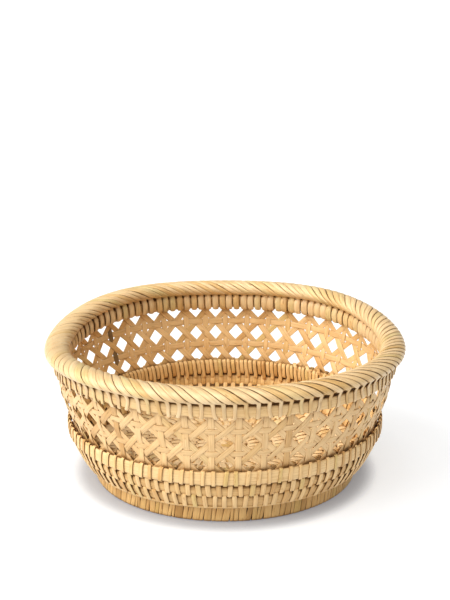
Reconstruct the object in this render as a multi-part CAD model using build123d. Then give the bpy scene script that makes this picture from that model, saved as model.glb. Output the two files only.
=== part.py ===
from build123d import *
import math
import os

# Round open-work rattan basket on a foot ring, in millimetres, +Z up.
# Origin: centre of the foot ring's bottom face, on the surface the basket stands on.

# ---- driving dimensions -------------------------------------------------
RIM_OUTER_RADIUS = 140.0        # outside of the lashed rim roll
RIM_ROLL_WIDTH = 18.6           # radial width of the roll
RIM_ROLL_HEIGHT = 11.4
RIM_TOP = 116.4
RIM_STRANDS = 108               # turns of lashing round the rim
RIM_ROD_RADIUS = 3.7
RIM_ROD_SPREAD = 3.9            # each rod's distance from the middle of the roll

PEEL = 0.7                      # thickness of a stitching strand
PEEL_WIDTH = 3.6
CLEAR = 0.15                    # air between a strand and what it goes round
WRAP = 1.1                      # thickness of the lashing strips on the rim

BAND_RADIUS = 129.0             # middle of the upper hoop band
BAND_BOTTOM = 93.4
BAND_TOP = 104.9
SHOULDER_RADIUS = 119.8         # middle of the shoulder hoop band
SHOULDER_BOTTOM = 37.7
SHOULDER_TOP = 49.4
HOOP_GAP = 4.9                  # room for the cane between an inner and an outer hoop
HOOP = 1.5                      # hoop thickness

CANE = 0.9                      # cane strip thickness
CANE_WIDTH = 4.8
CANE_LAYER = 1.2                # from one layer of strips to the next
COLUMNS = 42                    # uprights, and diagonals each way
STRIP_PERIOD = 18.9             # height from one horizontal strip to the next
UPPER_STRIP = 82.0              # height of the upper horizontal strip
CANE_BOTTOM = 39.2
CANE_TOP = 103.4

ROW_STITCHES = 96               # stitches in each coil row of the wall
ROW_THICKNESS = 6.0
ROW_GAP = 0.5                   # shortening at each end of a row's section
ROW_CORNER = 1.6
LOWER_ROW_FOOT = (111.6, 15.0)  # outer edge of the wall rows, (radius, height)
ROW_JOINT = (118.3, 27.1)
UPPER_ROW_HEAD = (122.4, 37.5)

BASE_EDGE_RADIUS = 101.2        # middle of the base's last turn, a full circle
BASE_BOTTOM = 14.4
BASE_HEIGHT = 5.4
BASE_HALF_TURNS = 19            # half turns of the spiral inside that circle
BASE_ROD = 8.3                  # width of the flattened coil
BASE_STITCH_PITCH = 12.0

FOOT_RADIUS = 104.0
FOOT_HEIGHT = 14.2
FOOT_WIDTH = 8.0
FOOT_WRAP = 1.2
FOOT_ROD_RADIUS = 2.7

# The cane wall leans outward: (height, radius) of its middle surface.
WALL_LINE = [
    (CANE_BOTTOM, SHOULDER_RADIUS),
    (SHOULDER_TOP, SHOULDER_RADIUS),
    (63.1, 122.6),
    (UPPER_STRIP, 127.2),
    (BAND_BOTTOM, BAND_RADIUS),
    (CANE_TOP, BAND_RADIUS),
]


# ---- helpers ------------------------------------------------------------
def wall_radius(height):
    """Radius of the cane wall's middle surface at a height."""
    for (z0, r0), (z1, r1) in zip(WALL_LINE[:-1], WALL_LINE[1:]):
        if height <= z1:
            return r0 + (r1 - r0) * (height - z0) / (z1 - z0)
    return WALL_LINE[-1][1]


def ring(section, radius, height, tilt=0.0, arc=360.0):
    """Turn a flat section about +Z, its own X pointing outward."""
    profile = Plane.XZ * Pos(radius, height) * Rot(0, 0, tilt) * section
    return revolve(profile, axis=Axis.Z, revolution_arc=arc)


def around(solid, count, offset=0.0):
    """Copies of one solid evenly spaced about +Z, as separate solids."""
    step = 360.0 / count
    return Compound(children=[Rot(0, 0, offset + i * step) * solid for i in range(count)])


def stitch_loop(length, thickness):
    """Closed loop of strand round a flat section, in the XY plane of the section."""
    outer = RectangleRounded(length, thickness, ROW_CORNER)
    inner = RectangleRounded(length - 2 * PEEL, thickness - 2 * PEEL, ROW_CORNER - PEEL)
    return outer - inner


def standing(profile, radius, height, tilt, width):
    """A section set up in the radial plane and given a width across it."""
    return extrude(Plane.XZ * Pos(radius, height) * Rot(0, 0, tilt) * profile, amount=width / 2, both=True)


# ---- foot ring: two rods, one above the other, bound with a flat strip ---
def foot_rod(height):
    return ring(Circle(FOOT_ROD_RADIUS), FOOT_RADIUS - FOOT_WIDTH / 2, height)


def foot_wrap():
    outer = RectangleRounded(FOOT_WIDTH, FOOT_HEIGHT, 2.6)
    inner = RectangleRounded(FOOT_WIDTH - 2 * FOOT_WRAP, FOOT_HEIGHT - 2 * FOOT_WRAP, 1.6)
    return ring(outer - inner, FOOT_RADIUS - FOOT_WIDTH / 2, FOOT_HEIGHT / 2)


# ---- base: a flat coil of half turns about two centres, closed by a circle
BASE_PITCH = 2 * (BASE_EDGE_RADIUS - 0.3) / (BASE_HALF_TURNS + 0.5)
BASE_MIDDLE = BASE_BOTTOM + BASE_HEIGHT / 2


def base_half_turns():
    """(centre x, radius, first angle) of each half turn, from the middle outward."""
    turns = []
    for i in range(1, BASE_HALF_TURNS + 1):
        side = i % 2
        centre = BASE_PITCH / 4 if side else -BASE_PITCH / 4
        turns.append((centre, i * BASE_PITCH / 2, 0.0 if side else 180.0))
    return turns


def base_coil():
    """The last half turn runs into the edge circle, so that no gap is left inside it."""
    section = RectangleRounded(BASE_ROD, BASE_HEIGHT - 2 * (PEEL + CLEAR), 1.7)
    coil = ring(section, BASE_EDGE_RADIUS, BASE_MIDDLE)
    for centre, radius, start in base_half_turns():
        coil += Pos(centre, 0, 0) * Rot(0, 0, start) * ring(section, radius, BASE_MIDDLE, arc=180.0)
    return coil


def base_stitches():
    """Loops round every turn that lies clear of its neighbours."""
    loop = stitch_loop(BASE_ROD + 2 * (PEEL + CLEAR), BASE_HEIGHT)
    stitches = []
    for centre, radius, start in base_half_turns()[1:-2]:
        count = max(2, round(math.pi * radius / BASE_STITCH_PITCH))
        one = standing(loop, radius, BASE_MIDDLE, 0.0, PEEL_WIDTH)
        for i in range(count):
            angle = start + 180.0 * (i + 0.5) / count
            stitches.append(Pos(centre, 0, 0) * Rot(0, 0, angle) * one)
    return Compound(children=stitches)


# ---- wall rows: wrapped coils that lean outward --------------------------
def row_frame(low, high):
    """Centre radius, centre height, tilt and length of a row between two outer points."""
    length = math.dist(low, high)
    tilt = math.atan2(high[1] - low[1], high[0] - low[0])
    radius = (low[0] + high[0]) / 2 - math.sin(tilt) * ROW_THICKNESS / 2
    height = (low[1] + high[1]) / 2 + math.cos(tilt) * ROW_THICKNESS / 2
    return radius, height, math.degrees(tilt), length - 2 * ROW_GAP


def wall_coil(low, high):
    radius, height, tilt, length = row_frame(low, high)
    skin = 2 * (PEEL + CLEAR)
    section = RectangleRounded(length - skin, ROW_THICKNESS - skin, ROW_CORNER - PEEL)
    return ring(section, radius, height, tilt)


def wall_stitches(low, high, offset):
    radius, height, tilt, length = row_frame(low, high)
    one = standing(stitch_loop(length, ROW_THICKNESS), radius, height, tilt, PEEL_WIDTH)
    return around(one, ROW_STITCHES, offset)


# ---- hoop bands: a flat hoop inside and outside the cane, stitched -------
def hoop(middle_radius, bottom, top, side):
    """side is +1 for the outer hoop and -1 for the inner one."""
    radius = middle_radius + side * (HOOP_GAP + HOOP) / 2
    section = RectangleRounded(HOOP, top - bottom - 2 * (PEEL + CLEAR), 0.5)
    return ring(section, radius, (top + bottom) / 2)


def band_staple(middle_radius, bottom, top, width, open_side):
    """Strand over both hoops, open on the side where the cane comes out."""
    half = HOOP_GAP / 2 + HOOP + CLEAR + PEEL
    height = top - bottom
    outer = Rectangle(2 * half, height)
    inner = Pos(0, open_side * PEEL) * Rectangle(2 * (half - PEEL), height)
    return standing(outer - inner, middle_radius, (top + bottom) / 2, 0.0, width)


# ---- cane wall -----------------------------------------------------------
def cane_levels():
    """Heights at which the strips bend."""
    levels = [z for z, radius in WALL_LINE]
    levels += [UPPER_STRIP - STRIP_PERIOD / 2, UPPER_STRIP - 1.5 * STRIP_PERIOD, SHOULDER_TOP - 5.0]
    return sorted(levels)


def cane_strip(layer, lean, width):
    """A strip up the wall: layer counts outward, lean is -1, 0 or +1 half columns per half period."""
    turn_per_mm = lean * (180.0 / COLUMNS) / (STRIP_PERIOD / 2)
    sections = []
    for height in cane_levels():
        angle = math.radians(turn_per_mm * (height - UPPER_STRIP))
        radius = wall_radius(height) + layer * CANE_LAYER
        centre = (radius * math.cos(angle), radius * math.sin(angle), height)
        across = (-math.sin(angle), math.cos(angle), 0)
        sections.append(Plane(origin=centre, x_dir=across, z_dir=(0, 0, 1)) * Rectangle(width, CANE))
    return loft(sections, ruled=True)


def cane_ring(height, layer):
    """A horizontal strip that follows the wall's lean."""
    low = height - CANE_WIDTH / 2
    high = height + CANE_WIDTH / 2
    inner = layer * CANE_LAYER - CANE / 2
    outer = layer * CANE_LAYER + CANE / 2
    outline = Polygon(
        (wall_radius(low) + inner, low),
        (wall_radius(low) + outer, low),
        (wall_radius(height) + outer, height),
        (wall_radius(high) + outer, high),
        (wall_radius(high) + inner, high),
        (wall_radius(height) + inner, height),
        align=None,
    )
    return revolve(Plane.XZ * outline, axis=Axis.Z)


# ---- rim roll: two rods side by side, lashed with flat strips ------------
ROLL_RADIUS = RIM_OUTER_RADIUS - RIM_ROLL_WIDTH / 2
ROLL_HEIGHT = RIM_TOP - RIM_ROLL_HEIGHT / 2


def rim_rod(side):
    return ring(Circle(RIM_ROD_RADIUS), ROLL_RADIUS + side * RIM_ROD_SPREAD, ROLL_HEIGHT)


def rim_wrap():
    outer = Ellipse(RIM_ROLL_WIDTH / 2, RIM_ROLL_HEIGHT / 2)
    inner = Ellipse(RIM_ROLL_WIDTH / 2 - WRAP, RIM_ROLL_HEIGHT / 2 - WRAP)
    turn = ring(outer - inner, ROLL_RADIUS, ROLL_HEIGHT, arc=0.9 * 360.0 / RIM_STRANDS)
    return around(turn, RIM_STRANDS)


# ---- assembly ------------------------------------------------------------
DIAGONAL_WIDTH = CANE_WIDTH * math.sqrt(2)      # a 45 degree strip, cut level
half_stitch = 180.0 / ROW_STITCHES

nodes = {
    "foot_rod_lower": foot_rod(FOOT_HEIGHT / 2 - FOOT_ROD_RADIUS - CLEAR),
    "foot_rod_upper": foot_rod(FOOT_HEIGHT / 2 + FOOT_ROD_RADIUS + CLEAR),
    "foot_wrap": foot_wrap(),
    "base_coil": base_coil(),
    "base_stitches": base_stitches(),
    "wall_coil_lower": wall_coil(LOWER_ROW_FOOT, ROW_JOINT),
    "wall_coil_upper": wall_coil(ROW_JOINT, UPPER_ROW_HEAD),
    "wall_stitches_lower": wall_stitches(LOWER_ROW_FOOT, ROW_JOINT, 0.0),
    "wall_stitches_upper": wall_stitches(ROW_JOINT, UPPER_ROW_HEAD, half_stitch),
    "shoulder_hoop_outer": hoop(SHOULDER_RADIUS, SHOULDER_BOTTOM, SHOULDER_TOP, 1),
    "shoulder_hoop_inner": hoop(SHOULDER_RADIUS, SHOULDER_BOTTOM, SHOULDER_TOP, -1),
    "shoulder_stitches": around(
        band_staple(SHOULDER_RADIUS, SHOULDER_BOTTOM, SHOULDER_TOP, PEEL_WIDTH, 1), ROW_STITCHES
    ),
    "cane_ring_lower": cane_ring(UPPER_STRIP - 2 * STRIP_PERIOD, -1.5),
    "cane_ring_middle": cane_ring(UPPER_STRIP - STRIP_PERIOD, -1.5),
    "cane_ring_upper": cane_ring(UPPER_STRIP, -1.5),
    "cane_diagonals_right": around(cane_strip(-0.5, 1, DIAGONAL_WIDTH), COLUMNS, 180.0 / COLUMNS),
    "cane_diagonals_left": around(cane_strip(0.5, -1, DIAGONAL_WIDTH), COLUMNS, 180.0 / COLUMNS),
    "cane_uprights": around(cane_strip(1.5, 0, CANE_WIDTH), COLUMNS),
    "band_hoop_outer": hoop(BAND_RADIUS, BAND_BOTTOM, BAND_TOP, 1),
    "band_hoop_inner": hoop(BAND_RADIUS, BAND_BOTTOM, BAND_TOP, -1),
    "band_stitches": around(
        band_staple(BAND_RADIUS, BAND_BOTTOM, BAND_TOP, PEEL_WIDTH, -1), RIM_STRANDS
    ),
    "rim_rod_inner": rim_rod(-1),
    "rim_rod_outer": rim_rod(1),
    "rim_wrap": rim_wrap(),
}

os.makedirs("parts", exist_ok=True)
for name, shape in nodes.items():
    export_step(shape, f"parts/{name}.step")
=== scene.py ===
import math
import random

import bpy
import numpy as np
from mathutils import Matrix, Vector


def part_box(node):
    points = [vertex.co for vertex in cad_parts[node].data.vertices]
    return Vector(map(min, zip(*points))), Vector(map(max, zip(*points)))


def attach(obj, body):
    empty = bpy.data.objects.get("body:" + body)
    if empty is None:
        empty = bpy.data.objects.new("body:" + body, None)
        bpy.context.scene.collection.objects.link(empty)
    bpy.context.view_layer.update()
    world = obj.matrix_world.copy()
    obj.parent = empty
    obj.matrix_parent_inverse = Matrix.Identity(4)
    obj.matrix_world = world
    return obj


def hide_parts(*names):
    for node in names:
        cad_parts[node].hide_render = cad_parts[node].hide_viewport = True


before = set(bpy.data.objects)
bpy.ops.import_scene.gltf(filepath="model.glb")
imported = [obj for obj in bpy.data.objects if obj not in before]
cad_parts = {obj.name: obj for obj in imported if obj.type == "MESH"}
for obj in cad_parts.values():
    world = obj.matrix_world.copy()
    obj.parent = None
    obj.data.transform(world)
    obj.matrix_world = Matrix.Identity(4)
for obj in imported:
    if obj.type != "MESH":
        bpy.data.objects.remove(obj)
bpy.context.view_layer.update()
MM = 0.001
TAU = 2 * math.pi

# ---- rim roll and the lashing over it, in metres and radians ---------------------------------
ROLL_HALF_WIDTH = 9.3 * MM
RIM_STRANDS = 112
RIM_SLACK_AT = math.radians(150)        # where the stitches inside the band stand furthest apart
RIM_SLACK = 0.26                        # how much narrower they are there
RIM_TIGHT_AT = math.radians(235)        # where the strips over the roll lie closest, and opposite it
RIM_COVER = 0.985                       # width of a strip over the roll, as a share of the spacing
RIM_COVER_SWING = 0.05                  # how much that share changes round the rim
RIM_STRIP = 1.1 * MM
RIM_LAY_TURN = math.radians(19.5)       # how far a strip runs round the rim while it goes over the roll
RIM_LAY_EASE = 0.28                     # strips lie flatter round the inside than round the outside
RIM_STEPS = 10                          # steps of a strip over the roll
ROLL_BEGIN = math.radians(236)          # where on the roll's section a strip comes up from the inside
ROLL_END = math.radians(-52)            # and where it goes down outside
BAND_STITCH_WIDTH = 2.9 * MM
INNER_COVER = 0.98                      # RIM_COVER for the stitches on the inside of the band
INTO_HOLES = 0.2                        # how far an outer stitch is drawn to the middle of a cane opening

# ---- caned wall ------------------------------------------------------------------------------
COLUMNS = 42
WEATHERED_UPRIGHT = 16                  # one upright is much darker than the rest
LOOSE_ENDS = 6                          # cane ends that curl into the basket
LOOSE_FROM = 28                         # degrees, the first of them
LOOSE_STEP = 6.5                        # degrees to the next
CANE_WIDTH = 4.7 * MM
DIAGONAL_WIDTH = 4.75 * MM
CANE = 0.55 * MM                        # thickness of a strip
LAYER = 0.58 * MM                       # from one layer of strips to the next
CANE_STEPS = 40
CANE_SWAY = 0.6 * MM
RING_WAVE = 0.25 * MM

# ---- stitched rows and hoops -----------------------------------------------------------------
ROW_STITCHES = 96
STITCH_WIDTH = 3.8 * MM
SHOULDER_STITCH_WIDTH = 3.0 * MM
PEEL = 0.7 * MM                         # thickness of a stitching strand
ROW_THICKNESS = 6.0 * MM
ROW_GROOVE = 2.6 * MM                   # height of the groove above a coil, bridged by the stitches
COIL_INSET = 0.25 * MM
HOOP = 1.5 * MM
HOOP_TONE = 0.7
OUTER_BAND_WIDTH = 8.8 * MM
INNER_BAND_WIDTH = 9.8 * MM
SHOULDER_WIDTH = 10.4 * MM

# ---- base and foot ---------------------------------------------------------------------------
BASE_PITCH = 10.3 * MM                  # from one turn of the coil to the next
BASE_START = 2.5 * MM                   # radius of the coil's first turn
BASE_STEP = math.radians(4)
BASE_FIRST_STITCH = 2.0                 # radians along the coil
BASE_STITCH_WIDTH = 5.0 * MM
BASE_STITCH_PITCH = 6.6 * MM
FOOT_WRAPS = 150
FOOT_WIDTH = 8.0 * MM
FOOT_STRIP = 1.1 * MM
FOOT_UNEVEN = 0.55                      # how much the widths of the foot's wraps differ

# ---- the hand-made shape: how far the basket is from round, level and even -------------------
SIDE_DROP = 5.2 * MM                    # sag of the rim at its two sides
SIDE_SKEW = 0.7 * MM                    # more of it at the left, less at the right
WALL_BELLY = 3.2 * MM
CORNER_SWELL = 2.0 * MM
BACK_LIFT = 1.6 * MM                    # of which 1.2 mm shows at the two back corners
COLUMN_SHIFT = math.radians(1.85)
COLUMN_CROWDING = (0.0275, 0.0138)      # radians, once and twice round the wall
COLUMN_WAVER = (0.0040, 0.0035)         # radians, 9 and 13 times round
STRAND_CROWDING = (0.10, 0.0225)        # radians, once and twice round the rim

# ---- how a strand is meshed, and the seed of each piece's small irregularities ---------------
SECTION_POINTS = 12
SECTION_POWER = 3.4                     # 2 is an oval strip, more is squarer
RING_STEPS = 168
SEED_RIM = 11
SEED_COIL = 20
SEED_ROW = 30
SEED_SHOULDER = 41
SEED_UPRIGHTS = 51
SEED_RIGHT = 52
SEED_LEFT = 53
SEED_CANE_RING = 60
SEED_BASE_COIL = 71
SEED_BASE = 72
SEED_FOOT = 81
SEED_ROD = 90


# ---- places read from the frame --------------------------------------------------------------
def outer(node):
    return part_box(node)[1][0]


def low(node):
    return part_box(node)[0][2]


def high(node):
    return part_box(node)[1][2]


def middle(node):
    return (low(node) + high(node)) / 2


ROLL_R = outer("rim_wrap") - ROLL_HALF_WIDTH
ROLL_Z = middle("rim_wrap")
ROLL_HALF_HEIGHT = (high("rim_wrap") - low("rim_wrap")) / 2
BAND_OUT = outer("band_stitches")
BAND_LOW = low("band_stitches")
BAND_R = (outer("band_hoop_outer") + outer("band_hoop_inner") - HOOP) / 2
SHOULDER_OUT = outer("shoulder_stitches")
SHOULDER_LOW = low("shoulder_stitches")
SHOULDER_HIGH = high("shoulder_stitches")
SHOULDER_R = (outer("shoulder_hoop_outer") + outer("shoulder_hoop_inner") - HOOP) / 2
STRIP_UP = middle("cane_ring_upper")
STRIP_MID = middle("cane_ring_middle")
HALF_PERIOD = (STRIP_UP - STRIP_MID) / 2
CANE_LOW = low("cane_uprights")
CANE_HIGH = high("cane_uprights")
FOOT_R = outer("foot_wrap")
FOOT_HIGH = high("foot_wrap")
BASE_LOW = low("base_stitches")
BASE_HIGH = high("base_stitches")

# Middle of the caned wall, (height, radius) from the bottom up.
WALL_LINE = (
    (CANE_LOW, SHOULDER_R),
    (SHOULDER_HIGH, SHOULDER_R + 0.3 * MM),
    (STRIP_MID, 122.6 * MM),
    (STRIP_UP, 127.2 * MM),
    (BAND_LOW, BAND_R),
    (CANE_HIGH, BAND_R),
)


def wall_radius(z):
    return float(np.interp(z, [p[0] for p in WALL_LINE], [p[1] for p in WALL_LINE]))


# ---- the hand-made shape ---------------------------------------------------------------------
def settle(points):
    """Bend the even shape into the basket's own.

    The rim is a little squarer than a circle and lower at the two sides, where the cane wall swells
    out, and higher at the two back corners.
    """
    x, y, z = points.T
    side = x / np.maximum(np.hypot(x, y), 1 * MM)
    rise = np.clip((z - SHOULDER_HIGH) / (ROLL_Z - SHOULDER_HIGH), 0, 1)
    weight = rise * rise * (3 - 2 * rise)
    drop = (SIDE_DROP - SIDE_SKEW * side) * side**6 * weight
    belly = np.sin(math.pi * np.clip((z - SHOULDER_HIGH) / (BAND_LOW - SHOULDER_HIGH), 0, 1))
    radius = np.maximum(np.hypot(x, y), 50 * MM)
    corner = (2 * x * y / radius**2) ** 2 * weight
    swell = 1 + (WALL_BELLY * side**4 * belly + CORNER_SWELL * corner) / radius
    lift = BACK_LIFT * corner * np.clip(y / radius, 0, 1)
    return np.stack([x * swell, y * swell, z - drop + lift], 1)


def column_angle(angle):
    """The columns aren't spaced quite evenly: they crowd at the back and spread out at the right."""
    once, twice = COLUMN_CROWDING
    slow, quick = COLUMN_WAVER
    turn = angle + COLUMN_SHIFT * (1 + math.sin(angle))
    turn += once * math.cos(angle) + twice * math.sin(2 * angle)
    return turn + slow * math.sin(9 * angle + 2) + quick * math.sin(13 * angle + 0.5)


def strand_angle(turn):
    """Place of a rim strand, turn from 0 to 1: the strands are closer together at the back."""
    once, twice = STRAND_CROWDING
    even = TAU * turn
    return even + once * math.cos(even) + twice * math.sin(2 * even)


# ---- a mesh made of strands ------------------------------------------------------------------
def section(crown):
    """Outline of a flat strip for a half width and half thickness of 1, a little domed outward."""
    points = []
    for k in range(SECTION_POINTS):
        a = TAU * k / SECTION_POINTS
        x = math.copysign(abs(math.cos(a)) ** (2 / SECTION_POWER), math.cos(a))
        y = math.copysign(abs(math.sin(a)) ** (2 / SECTION_POWER), math.sin(a))
        if y > 0:
            y += crown * (1 - x * x)
        points.append((x, y))
    return np.array(points)


def catmull(points, steps):
    """Smooth curve through rows of numbers, with the given steps between two rows."""
    p = np.array(points, float)
    p = np.vstack([2 * p[0] - p[1], p, 2 * p[-1] - p[-2]])
    t = np.linspace(0, 1, steps, endpoint=False)[:, None]
    rows = []
    for a, b, c, d in zip(p[:-3], p[1:-2], p[2:-1], p[3:]):
        square = (2 * a - 5 * b + 4 * c - d) * t**2
        cube = (3 * b - a - 3 * c + d) * t**3
        rows.append(0.5 * (2 * b + (c - a) * t + square + cube))
    rows.append(p[-2][None, :])
    return np.vstack(rows)


class Strands:
    """Strips gathered into one mesh, each with a tone and a place along its grain."""

    def __init__(self, seed):
        self.random = random.Random(seed)
        self.points = []
        self.faces = []
        self.flat = []
        self.tone = []
        self.grain = []
        self.edge = []
        self.count = 0

    def jitter(self, size):
        return self.random.uniform(-size, size)

    def strip(self, path, width, thickness, crown=0.5, normals=None, closed=False, tilt=0.0, tone=None):
        """Add a strip. path has rows of radius, angle and height.

        Where the path goes down, the strip's domed side faces away from the basket's axis.
        """
        path = np.asarray(path, float)
        r, a, z = path[:, 0], path[:, 1], path[:, 2]
        place = np.stack([r * np.cos(a), r * np.sin(a), z], 1)
        if closed:
            along = np.roll(place, -1, 0) - np.roll(place, 1, 0)
        else:
            along = np.gradient(place, axis=0)
        along /= np.linalg.norm(along, axis=1)[:, None]
        if normals is None:
            flow = np.stack([np.gradient(r), np.gradient(z)], 1)
            if closed:
                flow = np.stack([np.roll(r, -1) - np.roll(r, 1), np.roll(z, -1) - np.roll(z, 1)], 1)
            normals = np.stack([-flow[:, 1], flow[:, 0]], 1)
        normals = np.asarray(normals, float) * np.ones((len(r), 2))
        up = np.stack([normals[:, 0] * np.cos(a), normals[:, 0] * np.sin(a), normals[:, 1]], 1)
        up -= (up * along).sum(1)[:, None] * along
        up /= np.linalg.norm(up, axis=1)[:, None]
        side = np.cross(along, up)
        if np.any(tilt):
            lean = (np.ones(len(r)) * tilt)[:, None]
            side, up = side * np.cos(lean) + up * np.sin(lean), up * np.cos(lean) - side * np.sin(lean)
        half = (np.ones(len(r)) * width / 2)[:, None, None]
        outline = section(crown)
        x = outline[None, :, 0, None] * half
        y = outline[None, :, 1, None] * (np.ones(len(r)) * thickness / 2)[:, None, None]
        ring_points = place[:, None, :] + side[:, None, :] * x + up[:, None, :] * y
        n, k = len(r), SECTION_POINTS
        length = np.concatenate([[0], np.cumsum(np.linalg.norm(np.diff(place, axis=0), axis=1))])
        start = self.random.uniform(0, 10)
        grain = np.empty((n, k, 3))
        grain[:, :, 0] = (length + start)[:, None]
        grain[:, :, 1] = x[:, :, 0]
        grain[:, :, 2] = start * 3 + y[0, :, 0] * 0.5
        base = self.count
        self.points.append(settle(ring_points.reshape(-1, 3)))
        self.grain.append(grain.reshape(-1, 3))
        # How far across the strip each point lies; the materials paint shade along the edges from it.
        self.edge.append(np.tile(np.abs(outline[:, 0]), n))
        value = self.random.uniform(0.05, 1) if tone is None else tone
        self.tone.append(np.full(n * k, value))
        self.count += n * k
        last = n if closed else n - 1
        for i in range(last):
            one, two = base + i * k, base + (i + 1) % n * k
            for j in range(k):
                m = (j + 1) % k
                self.faces.append((one + j, one + m, two + m, two + j))
                self.flat.append(False)
        if not closed:
            self.faces.append(tuple(base + j for j in reversed(range(k))))
            self.faces.append(tuple(base + (n - 1) * k + j for j in range(k)))
            self.flat += [True, True]

    def build(self, name, material, slot, *nodes):
        mesh = bpy.data.meshes.new(name)
        mesh.from_pydata(np.concatenate(self.points).tolist(), [], self.faces)
        mesh.polygons.foreach_set("use_smooth", [not f for f in self.flat])
        for label, kind, field, values in (
            ("tone", "FLOAT", "value", self.tone),
            ("grain", "FLOAT_VECTOR", "vector", self.grain),
            ("edge", "FLOAT", "value", self.edge),
        ):
            layer = mesh.attributes.new(label, kind, "POINT")
            layer.data.foreach_set(field, np.concatenate(values).astype(np.float32).ravel())
        mesh.materials.append(material)
        mesh.update()
        piece = bpy.data.objects.new(f"{name}_strands", mesh)
        bpy.context.scene.collection.objects.link(piece)
        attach(piece, "root")
        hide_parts(*nodes)
        return piece


# ---- materials -------------------------------------------------------------------------------
def rattan(name, pale, honey, deep, roughness, edge_shade, use_grain=True, corner_shade=0.9):
    """Rattan: a strand's own tone, fibres, blotches and marks, with shade painted in the corners and
    along the strips' edges.

    pale, honey and deep are the colours of light, middling and dark strands. edge_shade is the strength
    of the shade painted along the strips' edges and corner_shade that of the shade painted in the corners.
    """
    material = bpy.data.materials.new(name)
    material.use_nodes = True
    tree = material.node_tree
    nodes, links = tree.nodes, tree.links
    shader = nodes["Principled BSDF"]
    shader.inputs["Specular IOR Level"].default_value = 0.42
    shader.inputs["Sheen Weight"].default_value = 0.05
    shader.inputs["Coat Weight"].default_value = 0.14
    shader.inputs["Coat Roughness"].default_value = 0.35

    def attribute(label):
        node = nodes.new("ShaderNodeAttribute")
        node.attribute_name = label
        return node

    def noise(vector, scale, detail, stretch=None):
        if stretch is not None:
            mapping = nodes.new("ShaderNodeMapping")
            mapping.inputs["Scale"].default_value = stretch
            links.new(vector, mapping.inputs["Vector"])
            vector = mapping.outputs["Vector"]
        node = nodes.new("ShaderNodeTexNoise")
        node.inputs["Scale"].default_value = scale
        node.inputs["Detail"].default_value = detail
        links.new(vector, node.inputs["Vector"])
        return node.outputs["Fac"]

    def ramp(value, stops):
        node = nodes.new("ShaderNodeValToRGB")
        node.color_ramp.elements[0].position = stops[0][0]
        node.color_ramp.elements[0].color = stops[0][1]
        node.color_ramp.elements[1].position = stops[-1][0]
        node.color_ramp.elements[1].color = stops[-1][1]
        for position, colour in stops[1:-1]:
            node.color_ramp.elements.new(position).color = colour
        links.new(value, node.inputs["Fac"])
        return node.outputs["Color"]

    def multiply(amount, first, second):
        node = nodes.new("ShaderNodeMix")
        node.data_type = "RGBA"
        node.blend_type = "MULTIPLY"
        node.inputs[0].default_value = amount
        links.new(first, node.inputs[6])
        links.new(second, node.inputs[7])
        return node.outputs[2]

    in_object = nodes.new("ShaderNodeTexCoord").outputs["Object"]
    along_strand = attribute("grain").outputs["Vector"] if use_grain else in_object
    fibres = noise(along_strand, 1.0, 3.0, (45, 1500, 400) if use_grain else (300, 300, 900))
    patches = noise(in_object, 55.0, 3.0)
    marks = noise(along_strand, 1.0, 4.0, (130, 420, 260) if use_grain else (200, 200, 200))
    # At tone 0 the colour is deep at 0.42: the weathered upright's own colour, and painted shade on the rods
    # in the wall rows' grooves.
    strand = ramp(
        attribute("tone").outputs["Fac"],
        [
            (0.0, (*[c * 0.42 for c in deep], 1)),
            (0.05, (*deep, 1)),
            (0.20, (*honey, 1)),
            (0.26, (pale[0] * 0.93, pale[1] * 0.98, pale[2] * 0.86, 1)),
            (0.36, (*pale, 1)),
            (1.0, (*[min(1, c * 1.06) for c in pale], 1)),
        ],
    )
    white = (1, 1, 1, 1)
    lines = ramp(fibres, [(0.30, (0.80, 0.74, 0.64, 1)), (0.55, white)])
    blotches = ramp(patches, [(0.32, (0.90, 0.83, 0.72, 1)), (0.62, white)])
    dark = ramp(marks, [(0.26, (0.60, 0.45, 0.28, 1)), (0.36, white)])
    # Ambient occlusion darkens the colour in corners and crevices: painted shade.
    corners = nodes.new("ShaderNodeAmbientOcclusion")
    corners.samples = 6
    corners.inputs["Distance"].default_value = 5 * MM
    painted_corner_shade = ramp(
        corners.outputs["AO"],
        [(0.10, (0.30, 0.17, 0.07, 1)), (0.42, (0.80, 0.68, 0.52, 1)), (0.68, white)],
    )
    # Darker along both edges of every strip: painted shade for the seams between strips.
    painted_edge_shade = ramp(attribute("edge").outputs["Fac"], [(0.84, white), (0.98, (0.40, 0.28, 0.16, 1))])
    colour = strand
    for amount, layer in ((0.75, lines), (0.7, blotches), (0.6, dark), (corner_shade, painted_corner_shade), (edge_shade, painted_edge_shade)):
        colour = multiply(amount, colour, layer)
    links.new(colour, shader.inputs["Base Color"])

    gloss = nodes.new("ShaderNodeMapRange")
    gloss.inputs["To Min"].default_value = roughness - 0.09
    gloss.inputs["To Max"].default_value = roughness + 0.12
    links.new(fibres, gloss.inputs["Value"])
    links.new(gloss.outputs["Result"], shader.inputs["Roughness"])
    bump = nodes.new("ShaderNodeBump")
    bump.inputs["Strength"].default_value = 0.35
    bump.inputs["Distance"].default_value = 0.15 * MM
    links.new(fibres, bump.inputs["Height"])
    links.new(bump.outputs["Normal"], shader.inputs["Normal"])
    return material


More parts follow.
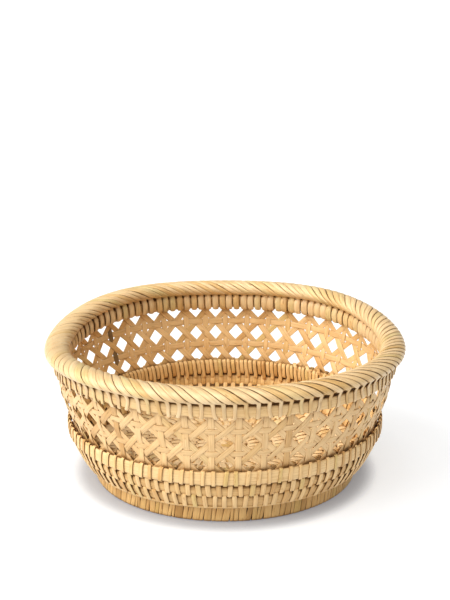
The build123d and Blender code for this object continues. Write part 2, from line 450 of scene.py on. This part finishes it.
peel_material = rattan(
    "stitching_peel", (0.86, 0.635, 0.35), (0.83, 0.578, 0.285), (0.70, 0.46, 0.21), roughness=0.42, edge_shade=0.4,
)
strip_material = rattan(
    "cane_strip", (0.86, 0.635, 0.365), (0.83, 0.583, 0.30), (0.70, 0.465, 0.225), roughness=0.44, edge_shade=0.28,
)
binding_material = rattan(
    "binding_strip", (0.86, 0.68, 0.44), (0.85, 0.645, 0.37), (0.78, 0.56, 0.28), roughness=0.34, edge_shade=0.36,
)
base_material = rattan(
    "base_peel", (0.87, 0.70, 0.47), (0.85, 0.66, 0.41), (0.77, 0.56, 0.31),
    roughness=0.45, edge_shade=0.1, corner_shade=0.35,
)
foot_material = rattan(
    "foot_binding", (0.83, 0.575, 0.265), (0.78, 0.525, 0.23), (0.62, 0.39, 0.155), roughness=0.45, edge_shade=0.6,
)
hoop_material = rattan(
    "hoop_cane", (0.87, 0.66, 0.38), (0.84, 0.61, 0.32), (0.78, 0.54, 0.27), roughness=0.46, edge_shade=0.3,
)
core_material = rattan(
    "core_cane", (0.76, 0.53, 0.26), (0.73, 0.49, 0.235), (0.66, 0.42, 0.19), roughness=0.55, edge_shade=0.3,
)
rod_material = rattan(
    "rod_cane", (0.62, 0.40, 0.18), (0.60, 0.38, 0.17), (0.56, 0.34, 0.15),
    roughness=0.6, edge_shade=0.0, use_grain=False,
)


# ---- rim lashing: each strand is an inner stitch, a strip over the roll, and an outer stitch ----
def roll_point(angle):
    """Radius and height on the roll's section, the angle measured from the outside."""
    a = ROLL_HALF_WIDTH - RIM_STRIP / 2
    b = ROLL_HALF_HEIGHT - RIM_STRIP / 2
    return ROLL_R + a * math.cos(angle), ROLL_Z + b * math.sin(angle)


def over_roll(centre, spread, foot, inner_width):
    """The part of a strand that crosses the roll, as rows of radius, angle, height and width."""
    closer = RIM_COVER_SWING * math.cos(2 * (centre - RIM_TIGHT_AT))
    rows = []
    for step in range(RIM_STEPS + 1):
        t = step / RIM_STEPS
        r, z = roll_point(ROLL_BEGIN + (ROLL_END - ROLL_BEGIN) * t)
        ease = t + RIM_LAY_EASE * t * (1 - t)
        swell = 1 - abs(2 * t - 1) ** 4
        ends = inner_width if t < 0.5 else BAND_STITCH_WIDTH * 1.15
        before = roll_point(ROLL_BEGIN + (ROLL_END - ROLL_BEGIN) * (t - 0.05))
        after = roll_point(ROLL_BEGIN + (ROLL_END - ROLL_BEGIN) * (t + 0.05))
        climb = math.hypot(after[0] - before[0], after[1] - before[1]) / 0.1
        lay = math.atan2(r * RIM_LAY_TURN * (1 + RIM_LAY_EASE * (1 - 2 * t)), climb)
        full = (RIM_COVER + closer) * r * TAU / RIM_STRANDS * spread * math.cos(lay)
        rows.append((r, foot + RIM_LAY_TURN * ease, z, ends + (full - ends) * swell))
    return rows


def rim_lashing():
    strands = Strands(SEED_RIM)
    inner_r = 2 * BAND_R - BAND_OUT + PEEL / 2
    outer_r = BAND_OUT - PEEL / 2
    column = TAU / COLUMNS
    stitch = BAND_STITCH_WIDTH
    for i in range(RIM_STRANDS):
        centre = strand_angle(i / RIM_STRANDS) + math.radians(strands.jitter(0.25))
        room = strand_angle((i + 1) / RIM_STRANDS) - strand_angle((i - 1) / RIM_STRANDS)
        spread = room * RIM_STRANDS / 2 / TAU
        slack = max(0.0, math.cos(centre - RIM_SLACK_AT)) ** 2
        inner_width = INNER_COVER * inner_r * TAU / RIM_STRANDS * spread * (1 - RIM_SLACK * slack)
        foot = centre - RIM_LAY_TURN / 2
        head = centre + RIM_LAY_TURN / 2
        rows = [
            (inner_r + 2.6 * MM, foot - 0.010, BAND_LOW + 0.9 * MM, inner_width * 0.7),
            (inner_r + 0.9 * MM, foot - 0.008, BAND_LOW + 0.2 * MM, inner_width * 0.85),
            (inner_r - 0.5 * MM, foot - 0.006, BAND_LOW + 3.0 * MM, inner_width),
            (inner_r - 0.6 * MM, foot - 0.004, BAND_LOW + 8.0 * MM, inner_width),
        ]
        rows += over_roll(centre, spread, foot, inner_width)
        hole = column_angle((math.floor(head / column) + 0.5) * TAU / COLUMNS)
        pull = (hole - head) * INTO_HOLES
        drift = math.radians(strands.jitter(0.25))
        rows += [
            (outer_r + 0.1 * MM, head + 0.003, BAND_LOW + 8.6 * MM, stitch * 1.05),
            (outer_r, head + 0.004 + pull * 0.35 + drift / 2, BAND_LOW + 4.0 * MM, stitch),
            (outer_r - 0.3 * MM, head + 0.005 + pull + drift, BAND_LOW + 1.0 * MM, stitch),
            (outer_r - 2.0 * MM, head + 0.006 + pull * 1.2 + drift, BAND_LOW + 0.2 * MM, stitch * 0.9),
        ]
        path = catmull(rows, 3)
        over = np.clip((path[:, 2] - BAND_LOW - 9 * MM) / (4 * MM), 0, 1)
        inside = np.clip((BAND_R - path[:, 0]) / (4 * MM), 0, 1)
        width = path[:, 3] * (1 + strands.jitter(0.05))
        thickness = RIM_STRIP * (0.65 + 0.25 * over + 0.5 * inside)
        strands.strip(path[:, :3], width, thickness, crown=0.5, tilt=0.07 * over)
    return strands.build("rim_lashing", binding_material, "binding_strip", "rim_wrap", "band_stitches")


# ---- hoops and coil rows ---------------------------------------------------------------------
def ring_strip(
    strands, radius, height, width, thickness, lean=0.0, crown=0.2, wobble=0.2 * MM, tone=None, dip=0.0
):
    """A ring: width runs up the wall, lean is how far its face turns up, dip how far it is from level."""
    phase = strands.random.uniform(0, TAU)
    path = []
    for i in range(RING_STEPS):
        a = TAU * i / RING_STEPS
        rise = wobble * math.sin(2 * a + phase) - dip * math.cos(2 * a + TAU / 6)
        path.append((radius + wobble * math.sin(3 * a + phase), a, height + rise))
    normal = (math.cos(lean), math.sin(lean))
    strands.strip(path, width, thickness, crown, normals=normal, closed=True, tone=tone)


def hoop(name, width, lower=0.0, packed=False, dip=0.0):
    """A flat hoop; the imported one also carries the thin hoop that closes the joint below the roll."""
    strands = Strands(len(name))
    middle_z = middle(name) - lower
    radius = outer(name) - HOOP / 2
    ring_strip(strands, radius, middle_z, width, HOOP, tone=HOOP_TONE, dip=dip)
    if packed:
        ring_strip(strands, BAND_R, BAND_LOW + 10.6 * MM, 4.4 * MM, 1.8 * MM, tone=0.05)
    return strands.build(name, hoop_material, "hoop_cane", name)


def rod(name):
    """A round rod bent into a hoop."""
    strands = Strands(SEED_ROD + len(name))
    size = high(name) - low(name)
    ring_strip(strands, outer(name) - size / 2, middle(name), size, size, crown=0.0, tone=0.3, wobble=0)
    return strands.build(name, core_material, "core_cane", name)


# Outer edge of the wall below the shoulder, (radius, height) from the bottom up.
ROW_EDGES = (
    (111.6 * MM, 15.0 * MM),
    (118.3 * MM, 27.1 * MM),
    (122.4 * MM, 37.5 * MM),
)


def row_frame(first, second):
    """Middle of a row's section, its unit direction up the wall, its outward normal and its length."""
    dr, dz = second[0] - first[0], second[1] - first[1]
    length = math.hypot(dr, dz)
    up = (dr / length, dz / length)
    out = (up[1], -up[0])
    mid = (
        (first[0] + second[0]) / 2 - out[0] * ROW_THICKNESS / 2,
        (first[1] + second[1]) / 2 - out[1] * ROW_THICKNESS / 2,
    )
    return mid, up, out, length


def wall_row(level, first, second, offset):
    """A coil and a thinner rod above it, set back, bound by stitches that bridge the groove.

    The lower row also has a lip below its coil.
    """
    mid, up, out, length = row_frame(first, second)
    core = Strands(SEED_COIL + offset)
    lean = math.atan2(out[1], out[0])
    centre = [mid[i] - out[i] * COIL_INSET - up[i] * ROW_GROOVE / 2 for i in (0, 1)]
    centre = [centre[i] - up[i] * 0.25 * MM for i in (0, 1)]
    tall = length - ROW_GROOVE + 0.9 * MM
    thick = ROW_THICKNESS - 2 * PEEL - COIL_INSET
    ring_strip(core, centre[0], centre[1], tall, thick, lean, crown=0.25, tone=0.5)
    back = [mid[i] - out[i] * 0.9 * MM + up[i] * (length - ROW_GROOVE) / 2 for i in (0, 1)]
    # The rod in the groove takes tone 0, the darkest colour of the core: painted shade in the groove.
    ring_strip(core, back[0], back[1], ROW_GROOVE + 1.6 * MM, 2.4 * MM, lean, crown=0.1, tone=0.0)
    if level == "lower":
        lip = [first[i] - out[i] * 1.35 * MM + up[i] * 0.55 * MM for i in (0, 1)]
        ring_strip(core, lip[0], lip[1], 2.6 * MM, 2.0 * MM, lean, crown=0.1, tone=0.5)
    core.build(f"wall_coil_{level}", core_material, "core_cane", f"wall_coil_{level}")

    strands = Strands(SEED_ROW + offset)
    half_up = length / 2 + 0.25 * MM
    half_out = ROW_THICKNESS / 2 - PEEL / 2
    # Round the section: inner side going up, over the top, outer side going down.
    outline = (
        (-0.88, -1.00), (0.00, -1.15), (0.80, -1.00), (0.97, -0.72), (1.03, 0.00), (0.97, 0.72),
        (0.80, 1.00), (0.00, 1.08), (-0.84, 1.00), (-0.92, 0.72), (-0.94, 0.00), (-0.92, -0.72),
    )
    for i in range(ROW_STITCHES):
        angle = TAU * (i + 0.5 * offset) / ROW_STITCHES + math.radians(strands.jitter(0.3))
        slant = math.radians(strands.jitter(0.25))
        rows = []
        for along, across in outline + outline[:1]:
            rows.append((
                mid[0] + up[0] * along * half_up + out[0] * across * half_out,
                angle + along * slant,
                mid[1] + up[1] * along * half_up + out[1] * across * half_out,
            ))
        path = catmull(rows, 2)[:-1]
        strands.strip(path, STITCH_WIDTH * (1 + strands.jitter(0.09)), PEEL, crown=0.9, closed=True)
    strands.build(f"wall_stitches_{level}", peel_material, "stitching_peel", f"wall_stitches_{level}")


def shoulder_stitches():
    """Stitches over both shoulder hoops, and on the inside the heads of the row below."""
    strands = Strands(SEED_SHOULDER)
    out_r = SHOULDER_OUT - PEEL / 2
    in_r = 2 * SHOULDER_R - SHOULDER_OUT + PEEL / 2
    bottom, top = SHOULDER_LOW + PEEL / 2, SHOULDER_HIGH - PEEL / 2
    for i in range(ROW_STITCHES):
        angle = TAU * i / ROW_STITCHES + math.radians(strands.jitter(0.15))
        slant = math.radians(0.3 + strands.jitter(0.4))
        rows = [
            (in_r + 2.7 * MM, angle + 0.010, top - 1.6 * MM),
            (in_r + 1.6 * MM, angle + 0.008, top + 0.3 * MM),
            (in_r, angle + 0.006, top - 1.0 * MM),
            (in_r - 0.6 * MM, angle + 0.002, (top + bottom) / 2),
            (in_r - 0.2 * MM, angle - 0.002, bottom + 1.0 * MM),
            (in_r + 1.8 * MM, angle - 0.004, bottom),
            (out_r - 1.8 * MM, angle, bottom),
            (out_r - 0.1 * MM, angle, bottom + 1.0 * MM),
            (out_r + 0.15 * MM, angle + 0.3 * slant, (top + bottom) / 2),
            (out_r + 0.1 * MM, angle + 0.7 * slant, top - 1.0 * MM),
            (out_r - 1.2 * MM, angle + 0.9 * slant, top + 0.5 * MM),
            (out_r - 2.5 * MM, angle + slant, top - 1.5 * MM),
        ]
        path = catmull(rows, 2)
        inside = np.clip((SHOULDER_R - path[:, 0]) / (2 * MM), 0, 1)
        width = SHOULDER_STITCH_WIDTH * (1 + strands.jitter(0.08)) * (1 + 0.12 * inside)
        strands.strip(path, width, PEEL * (0.8 + 1.1 * inside), crown=1.2)
    # The stitches of the row below also pass up the inside of this band.
    for i in range(ROW_STITCHES):
        angle = TAU * (i + 0.5) / ROW_STITCHES + math.radians(strands.jitter(0.15))
        rows = [
            (in_r - 0.2 * MM, angle - 0.006, bottom - 3.4 * MM),
            (in_r - 0.4 * MM, angle - 0.004, bottom + 1.5 * MM),
            (in_r - 0.6 * MM, angle + 0.002, (top + bottom) / 2),
            (in_r + 0.1 * MM, angle + 0.006, top - 0.9 * MM),
            (in_r + 1.8 * MM, angle + 0.008, top + 0.2 * MM),
        ]
        strands.strip(catmull(rows, 3), STITCH_WIDTH * 0.88, PEEL * 1.9, crown=1.2)
    strands.build("shoulder_stitches", peel_material, "stitching_peel", "shoulder_stitches")


# ---- cane wall: strips that pass over and under each other -----------------------------------
def cane_path(phase, lean, inner_layer, outer_layer, strands):
    """A strip from top to bottom. phase counts half columns at the upper horizontal strip."""
    half_column = math.pi / COLUMNS
    sway = strands.jitter(CANE_SWAY)
    swing = strands.random.uniform(0, TAU)
    rows = []
    for i in range(CANE_STEPS + 1):
        z = CANE_HIGH + (CANE_LOW - CANE_HIGH) * i / CANE_STEPS
        level = (z - STRIP_UP) / HALF_PERIOD            # 0 at the strip, odd halfway between strips
        wave = 0.5 - 0.5 * math.cos(math.pi * level)    # 0 at a strip, 1 halfway between
        layer = outer_layer + (inner_layer - outer_layer) * wave
        angle = column_angle(half_column * (phase + lean * level))
        angle += sway * math.sin(z * 90 + swing) / wall_radius(z)
        rows.append((wall_radius(z) + layer * LAYER, angle, z))
    return rows


def cane_wall():
    uprights, right, left = Strands(SEED_UPRIGHTS), Strands(SEED_RIGHT), Strands(SEED_LEFT)
    for i in range(COLUMNS):
        tone = 0.0 if i == WEATHERED_UPRIGHT else None
        path = cane_path(2 * i, 0, 1.05, -0.5, uprights)
        uprights.strip(path, CANE_WIDTH * (1 + uprights.jitter(0.07)), CANE, crown=0.25, tone=tone)
        path = cane_path(2 * i + 1, 1, -1.0, 0.8, right)
        right.strip(path, DIAGONAL_WIDTH * (1 + right.jitter(0.10)), CANE, crown=0.15)
        path = cane_path(2 * i + 1, -1, 0.0, 0.0, left)
        left.strip(path, DIAGONAL_WIDTH * (1 + left.jitter(0.10)), CANE, crown=0.15)
    # A few ends aren't tucked in behind the shoulder hoop and curl into the basket.
    for i in range(LOOSE_ENDS):
        a = math.radians(LOOSE_FROM + LOOSE_STEP * i + uprights.jitter(2))
        bend = math.radians(uprights.jitter(2.5))
        rows = [
            (SHOULDER_R - 1.0 * MM, a, SHOULDER_HIGH + 2.2 * MM),
            (SHOULDER_R - 3.5 * MM, a + bend * 0.4, SHOULDER_HIGH + 2.0 * MM),
            (SHOULDER_R - 5.4 * MM, a + bend, SHOULDER_HIGH + 0.3 * MM),
            (SHOULDER_R - 4.6 * MM, a + bend * 1.6, SHOULDER_HIGH - 2.2 * MM),
            (SHOULDER_R - 3.4 * MM, a + bend * 1.8, SHOULDER_HIGH - 4.0 * MM),
        ]
        uprights.strip(catmull(rows, 3), CANE_WIDTH * 0.62, CANE, crown=0.3)
    uprights.build("cane_uprights", strip_material, "cane_strip", "cane_uprights")
    right.build("cane_diagonals_right", strip_material, "cane_strip", "cane_diagonals_right")
    left.build("cane_diagonals_left", strip_material, "cane_strip", "cane_diagonals_left")
    for number, name in enumerate(("cane_ring_lower", "cane_ring_middle", "cane_ring_upper")):
        strands = Strands(SEED_CANE_RING + number)
        z = middle(name)
        slope = (wall_radius(z + 4 * MM) - wall_radius(z - 4 * MM)) / (8 * MM)
        steps = COLUMNS * 8
        rows = []
        for i in range(steps):
            a = TAU * i / steps
            layer = -0.25 + 0.75 * math.cos(COLUMNS * a)
            height = z + RING_WAVE * math.sin(5 * a + number)
            rows.append((wall_radius(z) + layer * LAYER, column_angle(a), height))
        strands.strip(rows, CANE_WIDTH, CANE, crown=0.15, normals=(1.0, -slope), closed=True, tone=0.45)
        strands.build(name, strip_material, "cane_strip", name)


# ---- base: a flat coil, stitched turn by turn ------------------------------------------------
# Once round a base stitch: share of half the width, share of half the height, side of the slant.
BASE_STITCH = (
    (-0.8, 1, -1), (0, 1.08, 0), (0.8, 1, 1), (1, 0.5, 1), (1, -0.5, 1),
    (0.8, -1, 1), (0, -1, 0), (-0.8, -1, -1), (-1, -0.5, -1), (-1, 0.5, -1), (-0.8, 1, -1),
)


def base():
    core, strands = Strands(SEED_BASE_COIL), Strands(SEED_BASE)
    edge = outer("base_coil") - BASE_PITCH / 2 + 0.8 * MM
    z = (BASE_LOW + BASE_HIGH) / 2
    depth = BASE_HIGH - BASE_LOW
    flat = TAU / 4
    turns = edge / BASE_PITCH + 1.0
    count = int(turns * TAU / BASE_STEP)
    rows = []
    for i in range(count):
        a = i * BASE_STEP
        rows.append((min(edge, BASE_START + BASE_PITCH * a / TAU), a, z))
    core.strip(rows, BASE_PITCH * 0.93, depth - 2 * PEEL, crown=0.15, normals=(0, 1), tone=0.5)
    # The coil's start and its joint with the wall are closed by two small rings.
    start_ring = (2.4 * MM, z, 5.2 * MM, depth - 2 * PEEL)
    edge_ring = (outer("base_coil") + 1.5 * MM, z, 8.0 * MM, 1.6 * MM)
    ring_strip(core, *start_ring, lean=flat, crown=0.1, wobble=0, tone=0.3)
    ring_strip(core, *edge_ring, lean=flat, crown=0.1, wobble=0, tone=0.1)
    core.build("base_coil", core_material, "core_cane", "base_coil")
    half_w, half_h = BASE_PITCH / 2 - 0.1 * MM, depth / 2 - PEEL / 2
    a = BASE_FIRST_STITCH
    while a < count * BASE_STEP:
        r = min(edge, BASE_START + BASE_PITCH * a / TAU)
        slant = 0.9 * MM / r
        rows = []
        for across, height, turn in BASE_STITCH:
            rows.append((r + across * half_w, a + turn * slant, z + height * half_h))
        path = catmull(rows, 1)[:-1]
        width = BASE_STITCH_WIDTH * (1 + strands.jitter(0.08))
        strands.strip(path, width, PEEL, crown=0.3, closed=True)
        a += BASE_STITCH_PITCH / r * (1 + strands.jitter(0.05))
    strands.build("base_stitches", base_material, "stitching_peel", "base_stitches")


# ---- foot ring: a flat strip wound round the two rods ----------------------------------------
# Once round a wrap, up the inside, over the top and down the outside, read like BASE_STITCH.
FOOT_WRAP = (
    (-1, -0.7, -1), (-1, 0, -1), (-1, 0.7, -1), (-0.6, 1, -0.5), (0.6, 1, 0.5), (1, 0.72, 0.6),
    (1.04, 0, 0), (1, -0.72, -0.6), (0.6, -1, -1), (-0.6, -1, -1), (-1, -0.7, -1),
)


def foot():
    strands = Strands(SEED_FOOT)
    mid_r = FOOT_R - FOOT_WIDTH / 2
    mid_z = FOOT_HIGH / 2
    half_w, half_h = FOOT_WIDTH / 2 - FOOT_STRIP / 2, FOOT_HIGH / 2 - FOOT_STRIP / 2
    shares = [1 + strands.jitter(FOOT_UNEVEN) for i in range(FOOT_WRAPS)]
    total = sum(shares)
    at = 0.0
    for share in shares:
        span = TAU * share / total
        angle = at + span / 2
        at += span
        slant = 0.010 + strands.jitter(0.006)
        rows = []
        for across, height, turn in FOOT_WRAP:
            rows.append((mid_r + across * half_w, angle + turn * slant, mid_z + height * half_h))
        path = catmull(rows, 2)[:-1]
        path[:, 2] = np.maximum(path[:, 2], FOOT_STRIP * 0.62)
        strands.strip(path, span * FOOT_R * 0.99, FOOT_STRIP, crown=0.22, closed=True)
    strands.build("foot_wrap", foot_material, "binding_strip", "foot_wrap")


rim_lashing()
hoop("band_hoop_outer", OUTER_BAND_WIDTH, lower=0.2 * MM, dip=0.7 * MM)
hoop("band_hoop_inner", INNER_BAND_WIDTH, packed=True, dip=0.9 * MM)
hoop("shoulder_hoop_outer", SHOULDER_WIDTH)
hoop("shoulder_hoop_inner", SHOULDER_WIDTH)
shoulder_stitches()
wall_row("upper", ROW_EDGES[1], ROW_EDGES[2], 1)
wall_row("lower", ROW_EDGES[0], ROW_EDGES[1], 0)
cane_wall()
base()
foot()
rod("rim_rod_inner")
rod("rim_rod_outer")
for name in ("foot_rod_lower", "foot_rod_upper"):
    for material_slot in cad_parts[name].material_slots:
        material_slot.material = rod_material


# ---- floor, light and camera -----------------------------------------------------------------
FLOOR_HALF = 30.0                       # metres
CONTACT = 23 * MM                       # how far the painted contact shadow reaches from the foot
CAMERA_DISTANCE = 1.199                 # metres
CAMERA_ELEVATION = math.radians(21.24)
CAMERA_AIM = 55 * MM                    # height of the point that the camera turns about
CAMERA_LENS = 90.6                      # millimetres, on a sensor 36 mm wide
CAMERA_SHIFT = 0.1713


def floor():
    """Pale paper, a little luminous so that it stays white, with a shadow painted where the foot meets it."""
    mesh = bpy.data.meshes.new("floor")
    corners = [(x * FLOOR_HALF, y * FLOOR_HALF, 0) for x, y in ((-1, -1), (1, -1), (1, 1), (-1, 1))]
    mesh.from_pydata(corners, [], [(0, 1, 2, 3)])
    material = bpy.data.materials.new("floor_paper")
    material.use_nodes = True
    nodes, links = material.node_tree.nodes, material.node_tree.links
    shader = nodes["Principled BSDF"]
    # Ambient occlusion dims the floor's glow near the foot: a painted contact shadow.
    contact = nodes.new("ShaderNodeAmbientOcclusion")
    contact.samples = 12
    contact.inputs["Distance"].default_value = CONTACT
    shade = nodes.new("ShaderNodeValToRGB")
    shade.color_ramp.elements[0].position = 0.50
    shade.color_ramp.elements[0].color = (0.36, 0.37, 0.40, 1)
    shade.color_ramp.elements[1].position = 0.86
    shade.color_ramp.elements[1].color = (1.0, 1.0, 1.0, 1)
    links.new(contact.outputs["AO"], shade.inputs["Fac"])
    links.new(shade.outputs["Color"], shader.inputs["Emission Color"])
    shader.inputs["Base Color"].default_value = (0.38, 0.395, 0.425, 1)
    shader.inputs["Emission Strength"].default_value = 0.66
    shader.inputs["Roughness"].default_value = 0.9
    shader.inputs["Specular IOR Level"].default_value = 0.1
    mesh.materials.append(material)
    piece = bpy.data.objects.new("floor", mesh)
    bpy.context.scene.collection.objects.link(piece)


def sun(name, direction, strength, spread, colour):
    light = bpy.data.lights.new(name, "SUN")
    light.energy = strength
    light.angle = math.radians(spread)
    light.color = colour
    lamp = bpy.data.objects.new(name, light)
    lamp.rotation_euler = Vector(direction).to_track_quat("-Z", "Y").to_euler()
    bpy.context.scene.collection.objects.link(lamp)


def studio():
    world = bpy.data.worlds.new("studio")
    bpy.context.scene.world = world
    world.use_nodes = True
    world.node_tree.nodes["Background"].inputs["Color"].default_value = (1.0, 0.955, 0.86, 1)
    world.node_tree.nodes["Background"].inputs["Strength"].default_value = 0.28
    sun("key_light", (0.78, 0.24, -0.60), 2.55, 60, (1.0, 0.975, 0.93))
    sun("top_light", (0.03, 0.44, -1.0), 1.75, 70, (1.0, 0.98, 0.94))
    bpy.context.scene.view_settings.view_transform = "Standard"
    bpy.context.scene.view_settings.gamma = 0.81


def camera():
    data = bpy.data.cameras.new("camera")
    data.sensor_fit = "AUTO"
    data.sensor_width = 36.0
    data.lens = CAMERA_LENS
    data.shift_y = CAMERA_SHIFT
    eye = bpy.data.objects.new("camera", data)
    back = CAMERA_DISTANCE * math.cos(CAMERA_ELEVATION)
    rise = CAMERA_DISTANCE * math.sin(CAMERA_ELEVATION)
    eye.location = (0, -back, CAMERA_AIM + rise)
    eye.rotation_euler = (math.pi / 2 - CAMERA_ELEVATION, 0, 0)
    bpy.context.scene.collection.objects.link(eye)
    bpy.context.scene.camera = eye


floor()
studio()
camera()
